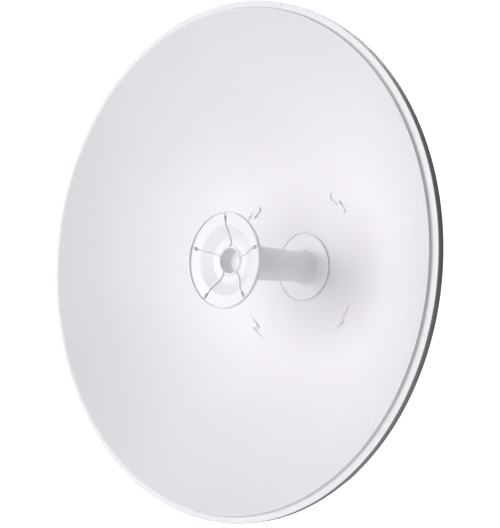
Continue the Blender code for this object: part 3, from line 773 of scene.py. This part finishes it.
# Feed
def make_feed():
    """The base disc with its flare, the tapered tube, and the neck that holds the sub-reflector."""
    bore = TUBE_FOOT_RADIUS + BASE_CLEARANCE
    foot = bowl(SEAT_RADIUS)[1] - GAP
    first = math.acos(1 - (BASE_CLEARANCE + FLARE_LIP) / FLARE_RADIUS)
    last = math.acos(1 - FLARE_REACH / FLARE_RADIUS)
    flare = []
    for turn in spread(first, last, 10):
        reach = TUBE_FOOT_RADIUS + FLARE_RADIUS * (1 - math.cos(turn))
        flare.append((reach, BASE_DEPTH - FLARE_RADIUS * (math.sin(last) - math.sin(turn))))
    edge = [
        (*flare[-1], 0),
        (BASE_RADIUS, BASE_DEPTH, 0.0003),
        (BASE_RADIUS, BASE_DEPTH + BASE_LIP, 0.0002),
        (BASE_RADIUS - BASE_UNDERCUT, foot, 0.0001),
        (bore, foot, 0),
    ]
    base = [(bore, flare[0][1])] + flare + softened(edge)[1:]
    data = turned("base", base, FEED_SEGMENTS)
    finish_piece("feed_base_flange", data, PLASTIC)

    taper_end = BASE_DEPTH - FLARE_RADIUS * math.sin(last)
    tube = [
        (TUBE_FRONT_RADIUS, TUBE_FRONT_DEPTH, 0.0005),
        (TUBE_FOOT_RADIUS, taper_end, 0),
        (TUBE_FOOT_RADIUS, TUBE_REAR_DEPTH, 0.0005),
        (TUBE_FOOT_RADIUS - TUBE_WALL, TUBE_REAR_DEPTH, 0.0003),
        (TUBE_FOOT_RADIUS - TUBE_WALL, taper_end, 0),
        (TUBE_FRONT_RADIUS - TUBE_WALL, TUBE_FRONT_DEPTH, 0.0003),
    ]
    data = turned("tube", softened(tube), FEED_SEGMENTS)
    finish_piece("feed_tube", data, PLASTIC)

    front = SUB_RIM_DEPTH + SUB_SEAT_DEPTH + GAP
    step = TUBE_FRONT_DEPTH - GAP
    socket = TUBE_FRONT_RADIUS + GAP
    throat = TUBE_FRONT_RADIUS - TUBE_WALL
    neck = [
        (NECK_FRONT_RADIUS, front, 0.0004),
        (NECK_REAR_RADIUS, NECK_REAR_DEPTH, 0.0008),
        (socket, NECK_REAR_DEPTH, 0.0003),
        (socket, step, 0.0003),
        (throat, step, 0.0003),
        (throat, step - NECK_WALL, 0.0003),
        (NECK_FRONT_RADIUS - NECK_WALL, front, 0.0004),
    ]
    data = turned("neck", softened(neck), FEED_SEGMENTS)
    finish_piece("feed_neck", data, PLASTIC)


def rib_directions(degrees):
    """Unit vectors along a rib, outwards, and across it."""
    turn = math.radians(degrees)
    return Vector((math.cos(turn), 0, math.sin(turn))), Vector((-math.sin(turn), 0, math.cos(turn)))


def along_rib(degrees, outline, depths):
    """Rings of an outline of (radius, sideways) at the given depths behind the foot of the lip."""
    out, beside = rib_directions(degrees)
    rings = []
    for depth in depths:
        level = Vector((0, CREST_Y + SUB_RIM_DEPTH + depth, 0))
        rings.append([level + out * reach + beside * side for reach, side in outline])
    return rings


def make_sub_reflector():
    """A turned disc with a lip, a cone and a throat, and at each rib a pocket and a hole through it."""
    outline = [(0, SUB_RIM_DEPTH + SUB_SECTION[0][1], 0)]
    outline += [(radius, SUB_RIM_DEPTH + depth, rounding) for radius, depth, rounding in SUB_SECTION]
    outline.append((0, SUB_RIM_DEPTH + SUB_SECTION[-1][1], 0))
    section = softened(outline, 4)[1:-1]
    data = turned("disc", section, DISC_SEGMENTS, closed=False)
    piece = finish_piece("sub_reflector", data, PLASTIC)
    cutters = bmesh.new()
    pocket = [
        (POCKET_IN, -POCKET_HALF_IN, POCKET_ROUND),
        (POCKET_OUT, -POCKET_HALF_OUT, POCKET_ROUND),
        (POCKET_OUT, POCKET_HALF_OUT, POCKET_ROUND),
        (POCKET_IN, POCKET_HALF_IN, POCKET_ROUND),
    ]
    pocket = softened(pocket, 4)
    hole = circle(PEG_HOLE_REACH, 0, PEG_HOLE_RADIUS, 16)
    for degrees in RIB_ANGLES:
        add_skin(cutters, along_rib(degrees, pocket, POCKET_CUT), False)
        add_skin(cutters, along_rib(degrees, hole, PEG_HOLE_CUT), False)
    subtract(piece, mesh_of(cutters, "pockets"))


def make_spider():
    """A hub ring and five thin ribs with rounded tops."""
    shape = bmesh.new()
    low, high = SUB_RIM_DEPTH + HUB_FOOT, SUB_RIM_DEPTH + HUB_TOP
    hub = [
        (HUB_INNER, low, 0.0002),
        (HUB_OUTER, low, 0.0002),
        (HUB_OUTER, high, 0.0005),
        (HUB_INNER, high, 0.0005),
    ]
    add_skin(shape, lathe_rings(softened(hub), HUB_SEGMENTS))
    for degrees in RIB_ANGLES:
        out, beside = rib_directions(degrees)
        rings = []
        for radius, depth in RIB_PATH:
            foot = out * radius + Vector((0, CREST_Y + SUB_RIM_DEPTH + depth, 0))
            ring = [foot - beside * RIB_WIDTH / 2]
            for t in spread(math.pi, 0, 6):
                rise = RIB_HEIGHT * (RIB_SHOULDER + (1 - RIB_SHOULDER) * math.sin(t))
                ring.append(foot + beside * (RIB_WIDTH / 2 * math.cos(t)) - Vector((0, rise, 0)))
            ring.append(foot + beside * RIB_WIDTH / 2)
            rings.append(ring)
        add_skin(shape, rings, False)
    finish_piece("sub_reflector_spider", mesh_of(shape, "spider"), PLASTIC)


def make_lock_ring():
    """A screwed ring with finger grips round its edge."""
    front = PLATE_WEB_DEPTH + PLATE_SHEET + BRACKET_SHEET + 2 * GAP
    bore = TUBE_FOOT_RADIUS + GAP
    levels = [
        (0.0, 0.0003),
        (0.0003, 0.0),
        (LOCK_RING_HEIGHT - 0.0010, 0.0),
        (LOCK_RING_HEIGHT - 0.0003, 0.0004),
        (LOCK_RING_HEIGHT, 0.0010),
    ]
    around = turns(20 * GRIP_COUNT)
    rings = [[spot(bore, a, front) for a in around]]
    for height, inset in levels:
        ring = []
        for a in around:
            groove = max(0.0, math.cos(GRIP_COUNT * a)) ** 3
            ring.append(spot(LOCK_RING_RADIUS - inset - GRIP_DEPTH * groove, a, front + height))
        rings.append(ring)
    rings.append([spot(bore, a, front + LOCK_RING_HEIGHT) for a in around])
    finish_piece("feed_lock_ring", skin("lock_ring", rings), PLASTIC)


def make_rear_housing():
    """A moulded box with round edges, a parting line and four small screws in wells in its back."""
    front = TUBE_REAR_DEPTH + GAP
    half = HOUSING_SIDE / 2
    levels = [
        (0.0, 0.0006),
        (0.0002, 0.0002),
        (0.0006, 0.0),
        (HOUSING_SEAM, 0.0),
        (HOUSING_SEAM + 0.0002, 0.0005),
        (HOUSING_SEAM + 0.0006, 0.0005),
        (HOUSING_SEAM + 0.0008, 0.0),
    ]
    for t in spread(0, math.pi / 2, 6):
        depth = HOUSING_LENGTH - HOUSING_ROUND * (1 - math.sin(t))
        levels.append((depth, HOUSING_ROUND * (1 - math.cos(t))))
    shape = bmesh.new()
    rings = []
    for depth, inset in levels:
        outline = filleted(square(half - inset), [HOUSING_CORNER - inset] * 4, 8)
        rings.append([(x, CREST_Y + front + depth, z) for x, z in outline])
    add_skin(shape, rings, False)
    data = mesh_of(shape, "housing")
    piece = finish_piece("feed_rear_housing", data, PLASTIC)
    wells = bmesh.new()
    rear = CREST_Y + front + HOUSING_LENGTH
    for x, z in corners(HOUSING_SCREW_OFFSET, HOUSING_SCREW_OFFSET):
        drill(wells, x, z, rear - WELL_DEPTH + CUT_MARGIN, rear, WELL_RADIUS, 24)
    subtract(piece, mesh_of(wells, "screw_wells"))
    screws = bmesh.new()
    for x, z in corners(HOUSING_SCREW_OFFSET, HOUSING_SCREW_OFFSET):
        rings = []
        for radius, sunk in SCREW_SECTION:
            rings.append([(px, rear - sunk, pz) for px, pz in circle(x, z, radius, 24)])
        add_skin(screws, rings, False)
    add_piece("housing_screws", mesh_of(screws, "housing_screws"), ZINC_BOLT)


make_feed()
make_sub_reflector()
make_spider()
make_lock_ring()
make_rear_housing()


# Fasteners, made along their own +Z and then moved into place
def ring_at(radius, z, segments):
    return [(radius * math.cos(a), radius * math.sin(a), z) for a in turns(segments)]


def hex_reach(angle, corner):
    """Distance from the middle of a hexagon to its outline, with a corner at angle 0."""
    return corner * math.cos(math.pi / 6) / math.cos(angle % (math.pi / 3) - math.pi / 6)


def hex_rings(corner, low, high, chamfer_low, chamfer_high):
    """Rings of a hexagonal prism whose ends are turned to a 30 degree chamfer."""
    start = corner * math.cos(math.pi / 6) * HEX_CHAMFER
    height = (corner - start) * math.tan(math.pi / 6)
    cut = spread(0, height, 4)
    levels = [(low + d, d) for d in cut] if chamfer_low else [(low, height)]
    levels += [(high - d, d) for d in reversed(cut)] if chamfer_high else [(high, height)]
    rings = []
    for z, d in levels:
        limit = start + d / math.tan(math.pi / 6)
        ring = []
        for a in turns(HEX_SEGMENTS):
            reach = min(hex_reach(a, corner), limit)
            ring.append((reach * math.cos(a), reach * math.sin(a), z))
        rings.append(ring)
    return rings


def thread_rings(radius, start, end, pitch, depth, segments):
    """Rings of a screw thread, from z = start down to z = end."""
    rings = []
    step = pitch / THREAD_SAMPLES
    for k in range(int((start - end) / step)):
        ring = []
        for i, a in enumerate(turns(segments)):
            phase = 2 * math.pi * (k / THREAD_SAMPLES + i / segments)
            reach = radius - depth * (0.5 - 0.5 * math.cos(phase))
            ring.append((reach * math.cos(a), reach * math.sin(a), start - k * step))
        rings.append(ring)
    return rings


def shank_rings(length, plain, segments):
    """A bolt's shank: a plain length, the thread and a chamfered end."""
    start, end = -plain - THREAD_LEAD, -length + THREAD_END
    rings = [ring_at(BOLT_RADIUS, 0.0, segments), ring_at(BOLT_RADIUS, -plain, segments)]
    rings += thread_rings(BOLT_RADIUS, start, end, THREAD_PITCH, THREAD_DEPTH, segments)
    rings.append(ring_at(BOLT_RADIUS - THREAD_DEPTH, -length + TIP_CHAMFER, segments))
    rings.append(ring_at(BOLT_RADIUS - 2 * THREAD_DEPTH, -length, segments))
    return rings


def dome_bolt(length, plain):
    """A coach bolt: a low dome, with a thin upright edge, over the shank."""
    rings = []
    for t in spread(math.pi / 2 * 0.94, math.pi / 2 * 0.10, 10):
        rings.append(ring_at(DOME_RADIUS * math.cos(t), DOME_HEIGHT * math.sin(t), DOME_SEGMENTS))
    rings.append(ring_at(DOME_RADIUS, DOME_HEIGHT * 0.10, DOME_SEGMENTS))
    rings.append(ring_at(DOME_RADIUS - 0.0002, 0.0, DOME_SEGMENTS))
    return skin("dome_bolt", rings + shank_rings(length, plain, DOME_SEGMENTS), False)


def hex_bolt(length, plain):
    """A chamfered hexagonal head on a round washer face, over the shank."""
    rings = hex_rings(HEX_CORNER_RADIUS, WASHER_FACE_HEIGHT, HEX_HEAD_HEIGHT, False, True)
    rings = list(reversed(rings))
    rings.append(ring_at(WASHER_FACE_RADIUS, WASHER_FACE_HEIGHT, HEX_SEGMENTS))
    rings.append(ring_at(WASHER_FACE_RADIUS, 0.0, HEX_SEGMENTS))
    return skin("hex_bolt", rings + shank_rings(length, plain, HEX_SEGMENTS), False)


def nut():
    """A nut below z = 0, chamfered on both faces, with a countersunk bore."""
    rings = [ring_at(NUT_SINK_RADIUS, -NUT_HEIGHT, HEX_SEGMENTS)]
    rings += hex_rings(HEX_CORNER_RADIUS, -NUT_HEIGHT, 0.0, True, True)
    rings.append(ring_at(NUT_SINK_RADIUS, 0.0, HEX_SEGMENTS))
    rings.append(ring_at(NUT_BORE_RADIUS, -NUT_SINK_DEPTH, HEX_SEGMENTS))
    rings.append(ring_at(NUT_BORE_RADIUS, -NUT_HEIGHT + NUT_SINK_DEPTH, HEX_SEGMENTS))
    return skin("nut", rings)


def fasten(node, pattern, place, rotation):
    """Copies a fastener's mesh to its place in the world."""
    data = pattern.copy()
    data.name = node
    turn = Matrix.Rotation(rotation[1], 4, "Y") @ Matrix.Rotation(rotation[0], 4, "X")
    data.transform(Matrix.Translation(place) @ turn)
    finish_piece(node, data, ZINC_BOLT)


def pole_centre():
    return JAW_APEX + POLE_RADIUS * math.sqrt(2)


def make_fasteners():
    forward = (math.radians(90), 0)
    plate_front = CREST_Y + PLATE_WEB_DEPTH
    bracket_rear = plate_front + PLATE_SHEET + GAP + BRACKET_SHEET
    short = dome_bolt(BRACKET_BOLT_LENGTH, SHORT_PLAIN)
    long = dome_bolt(CLAMP_BOLT_LENGTH, LONG_PLAIN)
    hexagonal = hex_bolt(TILT_BOLT_LENGTH, SHORT_PLAIN)
    plain_nut = nut()
    for number, (x, z) in enumerate(BRACKET_BOLTS, 1):
        fasten(f"bracket_bolt_{number}", short, (x, plate_front - GAP, z), forward)
        fasten(f"bracket_nut_{number}", plain_nut, (x, bracket_rear + GAP, z), forward)
    clamp_rear = 2 * pole_centre() + BRACKET_SHEET
    for number, (x, z) in enumerate(CLAMP_BOLTS, 1):
        fasten(f"clamp_bolt_{number}", long, (x, -BRACKET_SHEET - GAP, z), forward)
        fasten(f"clamp_nut_{number}", plain_nut, (x, clamp_rear + GAP, z), forward)
    tilt_y = CREST_Y + TILT_AXIS_DEPTH
    outside = CHEEK_SPAN / 2 + GAP
    inside = CHEEK_SPAN / 2 - 2 * BRACKET_SHEET - 2 * GAP
    for side, word in ((-1, "left"), (1, "right")):
        outward = (0, math.radians(90 * side))
        for height, kind in ((-TILT_BOLT_HEIGHT, "pivot"), (TILT_BOLT_HEIGHT, "tilt_lock")):
            fasten(f"{kind}_bolt_{word}", hexagonal, (side * outside, tilt_y, height), outward)
            fasten(f"{kind}_nut_{word}", plain_nut, (side * inside, tilt_y, height), outward)


def make_connectors():
    """Coaxial sockets: a hexagonal foot, a threaded barrel and a pin in its mouth."""
    barrel, foot, tip = CONNECTOR_RADIUS, -CONNECTOR_NUT_LENGTH, -CONNECTOR_LENGTH
    relief = [(barrel - 0.0004, foot - 0.0001), (barrel - 0.0004, foot - 0.0010)]
    mouth = [(barrel - 0.0003, tip), (0.0023, tip), (0.0022, tip + SOCKET_DEPTH)]
    pin = [(0.0007, tip + SOCKET_DEPTH), (0.0006, tip + 0.0008), (0.0003, tip + 0.0005)]
    rings = list(reversed(hex_rings(CONNECTOR_NUT_RADIUS, foot, 0.0, True, False)))
    rings += [ring_at(radius, z, HEX_SEGMENTS) for radius, z in relief]
    start, end = foot - 0.0012, tip + 0.0005
    rings += thread_rings(barrel, start, end, CONNECTOR_PITCH, CONNECTOR_THREAD, HEX_SEGMENTS)
    rings += [ring_at(radius, z, HEX_SEGMENTS) for radius, z in mouth + pin]
    pattern = skin("connector", rings, False)
    middle = CREST_Y + TUBE_REAR_DEPTH + GAP + HOUSING_LENGTH / 2
    for side, word in ((-1, "left"), (1, "right")):
        data = pattern.copy()
        data.transform(Matrix.Translation((side * CONNECTOR_SPACING / 2, middle, -HOUSING_SIDE / 2 - GAP)))
        finish_piece(f"rf_connector_{word}", data, BRASS)


make_fasteners()
make_connectors()


# Steel mount
def channel_outline(width, legs_to, web_from, web_to):
    """A U in X and Y with round bends: a web from web_from to web_to, and legs that reach to legs_to."""
    sign = 1 if legs_to > web_from else -1
    outside, inside = (web_from, web_to) if sign > 0 else (web_to, web_from)
    half = width / 2
    inner = half - BRACKET_SHEET
    points = [(half, legs_to), (inner, legs_to), (inner, inside), (-inner, inside), (-inner, legs_to),
              (-half, legs_to), (-half, outside), (half, outside)]
    tight = BEND_RADIUS - BRACKET_SHEET
    return filleted(points, [0, 0, tight, tight, 0, 0, BEND_RADIUS, BEND_RADIUS], 10)


def prism_rings(outline, low, high):
    return [[(x, y, z) for x, y in outline] for z in (low, high)]


def across(shape, outline):
    """An outline in Y and Z that reaches along X through both cheeks."""
    add_skin(shape, [[(x, y, z) for y, z in outline] for x in (-CROSS_REACH, CROSS_REACH)], False)


def tilt_slot_outline():
    """A curved slot with round ends, on an arc about the pivot bolt."""
    pivot_y, pivot_z = CREST_Y + TILT_AXIS_DEPTH, -TILT_BOLT_HEIGHT
    reach = 2 * TILT_BOLT_HEIGHT
    limit = math.radians(TILT_SLOT_ANGLE)
    outer, inner = reach + BOLT_HOLE_RADIUS, reach - BOLT_HOLE_RADIUS
    outline = []
    for row, first, last in ((outer, -limit, limit), (inner, limit, -limit)):
        outline += [(row * math.sin(turn), row * math.cos(turn)) for turn in spread(first, last, 16)]
        start = math.pi / 2 if last > 0 else -math.pi / 2
        for sweep in spread(0, math.pi, 12)[1:-1]:
            angle = start - last - sweep
            y = reach * math.sin(last) + BOLT_HOLE_RADIUS * math.cos(angle)
            z = reach * math.cos(last) + BOLT_HOLE_RADIUS * math.sin(angle)
            outline.append((y, z))
    return [(pivot_y + y, pivot_z + z) for y, z in outline]


def taper_outline(sign):
    """A wedge that slopes the upper or lower edge of both cheeks."""
    slope = (CHEEK_HEIGHT - CHEEK_REAR_HEIGHT) / 2 / (CHEEK_REAR_DEPTH - CHEEK_TAPER_DEPTH)
    start, end = CREST_Y + CHEEK_TAPER_DEPTH, CREST_Y + CHEEK_REAR_DEPTH + CUT_MARGIN
    top = CHEEK_HEIGHT / 2
    above = top + CUT_MARGIN
    outline = [(start, top), (end, top - slope * (end - start)), (end, above), (start, above)]
    return [(y, sign * z) for y, z in outline]


def make_dish_bracket():
    """A bent sheet behind the back plate: two tapered cheeks, each with a curved tilt slot."""
    web_front = CREST_Y + PLATE_WEB_DEPTH + PLATE_SHEET + GAP
    web_rear = web_front + BRACKET_SHEET
    outline = channel_outline(CHEEK_SPAN, CREST_Y + CHEEK_REAR_DEPTH, web_front, web_rear)
    half = CHEEK_HEIGHT / 2
    data = skin("dish_bracket", prism_rings(outline, -half, half), False)
    piece = finish_piece("dish_bracket", data, ZINC_SHEET)
    cutters = bmesh.new()
    drill(cutters, 0, 0, web_front, web_rear, FEED_HOLE_RADIUS, HUB_SEGMENTS)
    for x, z in BRACKET_BOLTS:
        drill(cutters, x, z, web_front, web_rear, BOLT_HOLE_RADIUS)
    across(cutters, circle(CREST_Y + TILT_AXIS_DEPTH, -TILT_BOLT_HEIGHT, BOLT_HOLE_RADIUS))
    across(cutters, tilt_slot_outline())
    for sign in (-1, 1):
        across(cutters, taper_outline(sign))
    subtract(piece, mesh_of(cutters, "bracket_cuts"))
    soften_edges(piece)


def jaw_outline(web_y, tip_y, apex_y):
    """One clamp jaw in X and Y with a toothed right-angled notch for the pole."""
    side = EAR_SPAN / 2
    notch = abs(tip_y - apex_y)
    toward = 1 if tip_y > apex_y else -1
    points = [(-side, web_y), (side, web_y), (JAW_TIP_HALF_WIDTH, tip_y), (notch, tip_y)]
    right = []
    for i in range(1, JAW_TEETH + 1):
        share = i / (JAW_TEETH + 1)
        x, y = notch * (1 - share), tip_y - toward * notch * share
        right.append((x + TOOTH_DEPTH / 2, y - toward * TOOTH_DEPTH / 2))
        right.append((x, y))
    points += right + [(0.0, apex_y)]
    points += [(-x, y) for x, y in reversed(right)]
    return points + [(-notch, tip_y), (-JAW_TIP_HALF_WIDTH, tip_y)]


def add_jaws(piece, web_y, tip_y, apex_y):
    """Joins the upper and the lower jaw to a finished web."""
    half = EAR_HEIGHT / 2
    outline = jaw_outline(web_y, tip_y, apex_y)
    jaws = bmesh.new()
    for low in (-half, half - BRACKET_SHEET):
        add_skin(jaws, prism_rings(outline, low, low + BRACKET_SHEET), False)
    combine(piece, mesh_of(jaws, "jaws"), "UNION")


def make_pole_bracket():
    """A bent sheet between the cheeks, with two jaws towards the pole."""
    outline = channel_outline(EAR_SPAN, CREST_Y + EAR_FRONT_DEPTH, -BRACKET_SHEET, 0.0)
    half = EAR_HEIGHT / 2
    data = skin("pole_bracket", prism_rings(outline, -half, half), False)
    piece = finish_piece("pole_bracket", data, ZINC_SHEET)
    add_jaws(piece, -BRACKET_SHEET / 2, JAW_REACH, JAW_APEX)
    cutters = bmesh.new()
    for height in (-TILT_BOLT_HEIGHT, TILT_BOLT_HEIGHT):
        across(cutters, circle(CREST_Y + TILT_AXIS_DEPTH, height, BOLT_HOLE_RADIUS))
    for x, z in CLAMP_BOLTS:
        drill(cutters, x, z, -BRACKET_SHEET, 0.0, BOLT_HOLE_RADIUS)
    subtract(piece, mesh_of(cutters, "ear_cuts"))
    soften_edges(piece)


def make_pole_clamp():
    """A flat plate beyond the pole, with two jaws that face the bracket's."""
    front = 2 * pole_centre()
    rear = front + BRACKET_SHEET
    side = EAR_SPAN / 2
    half = EAR_HEIGHT / 2
    web = [(-side, front), (side, front), (side, rear), (-side, rear)]
    data = skin("pole_clamp", prism_rings(web, -half, half), False)
    piece = finish_piece("pole_clamp", data, ZINC_SHEET)
    add_jaws(piece, front + BRACKET_SHEET / 2, front - JAW_REACH, front - JAW_APEX)
    cutters = bmesh.new()
    for x, z in CLAMP_BOLTS:
        drill(cutters, x, z, front, rear, BOLT_HOLE_RADIUS)
    subtract(piece, mesh_of(cutters, "clamp_cuts"))
    soften_edges(piece)


make_dish_bracket()
make_pole_bracket()
make_pole_clamp()


# Studio
def make_floor():
    """A large pale floor under the rim."""
    shape = bmesh.new()
    shape.faces.new([shape.verts.new((x, y, FLOOR_Z - FLOOR_DROP)) for x, y in square(FLOOR_HALF)])
    floor = bpy.data.objects.new("studio_floor", mesh_of(shape, "studio_floor"))
    bpy.context.scene.collection.objects.link(floor)
    look, _, _, shader = new_look("floor_white", (0.85, 0.85, 0.86), 0.7)
    shader.inputs["Emission Color"].default_value = (1, 1, 1, 1)
    shader.inputs["Emission Strength"].default_value = FLOOR_GLOW
    floor.data.materials.append(look)
    floor.visible_diffuse = False
    floor.visible_glossy = False
    floor.visible_shadow = False


def make_lights():
    """Square soft boxes round the antenna, each turned to it."""
    aim = Vector((0, CREST_Y + LIGHT_AIM_DEPTH, 0))
    for name, left, rise, size, power in SOFT_BOXES:
        turn, lift = math.radians(left), math.radians(rise)
        level = math.cos(lift)
        way = Vector((-math.sin(turn) * level, -math.cos(turn) * level, math.sin(lift)))
        light = bpy.data.lights.new(name, "AREA")
        light.size = size
        light.energy = power
        lamp = bpy.data.objects.new(name, light)
        bpy.context.scene.collection.objects.link(lamp)
        lamp.location = aim + way * LIGHT_DISTANCE
        lamp.rotation_euler = (-way).to_track_quat("-Z", "Y").to_euler()


def make_world():
    """White to the camera; it lights only from in front, most along the boresight."""
    world = bpy.data.worlds.new("studio")
    world.use_nodes = True
    nodes, links = world.node_tree.nodes, world.node_tree.links
    seen = nodes["Background"]
    seen.inputs["Color"].default_value = (1, 1, 1, 1)
    seen.inputs["Strength"].default_value = BACKDROP_STRENGTH
    lit = nodes.new("ShaderNodeBackground")
    where = nodes.new("ShaderNodeTexCoord")
    facing = nodes.new("ShaderNodeVectorMath")
    facing.operation = "DOT_PRODUCT"
    facing.inputs[1].default_value = (0, -1, 0)
    links.new(where.outputs["Generated"], facing.inputs[0])
    value = facing.outputs["Value"]
    for operation, number in (("MAXIMUM", 0.0), ("POWER", GLOW_FOCUS), ("MULTIPLY", FRONT_GLOW)):
        step = nodes.new("ShaderNodeMath")
        step.operation = operation
        step.inputs[1].default_value = number
        links.new(value, step.inputs[0])
        value = step.outputs["Value"]
    links.new(value, lit.inputs["Strength"])
    path = nodes.new("ShaderNodeLightPath")
    mix = nodes.new("ShaderNodeMixShader")
    links.new(path.outputs["Is Camera Ray"], mix.inputs["Fac"])
    links.new(lit.outputs["Background"], mix.inputs[1])
    links.new(seen.outputs["Background"], mix.inputs[2])
    links.new(mix.outputs["Shader"], nodes["World Output"].inputs["Surface"])
    bpy.context.scene.world = world


def make_camera():
    """Stands below the axis, to the right of the boresight as seen from in front."""
    azimuth, elevation = math.radians(CAMERA_AZIMUTH), math.radians(CAMERA_ELEVATION)
    roll = math.radians(CAMERA_ROLL)
    level = math.cos(elevation)
    back = Vector((math.sin(azimuth) * level, -math.cos(azimuth) * level, math.sin(elevation)))
    right = Vector((math.cos(azimuth), math.sin(azimuth), 0))
    up = back.cross(right)
    turned_right = math.cos(roll) * right + math.sin(roll) * up
    turned_up = -math.sin(roll) * right + math.cos(roll) * up
    data = bpy.data.cameras.new("camera")
    data.sensor_width = CAMERA_SENSOR
    data.lens = CAMERA_LENS
    data.clip_start = CAMERA_NEAR
    camera = bpy.data.objects.new("camera", data)
    bpy.context.scene.collection.objects.link(camera)
    place = CAMERA_TARGET + back * CAMERA_DISTANCE
    camera.matrix_world = Matrix((
        (turned_right.x, turned_up.x, back.x, place.x),
        (turned_right.y, turned_up.y, back.y, place.y),
        (turned_right.z, turned_up.z, back.z, place.z),
        (0, 0, 0, 1),
    ))
    bpy.context.scene.camera = camera


make_floor()
make_lights()
make_world()
make_camera()
bpy.context.scene.view_settings.view_transform = "Standard"
bpy.context.scene.view_settings.look = "None"
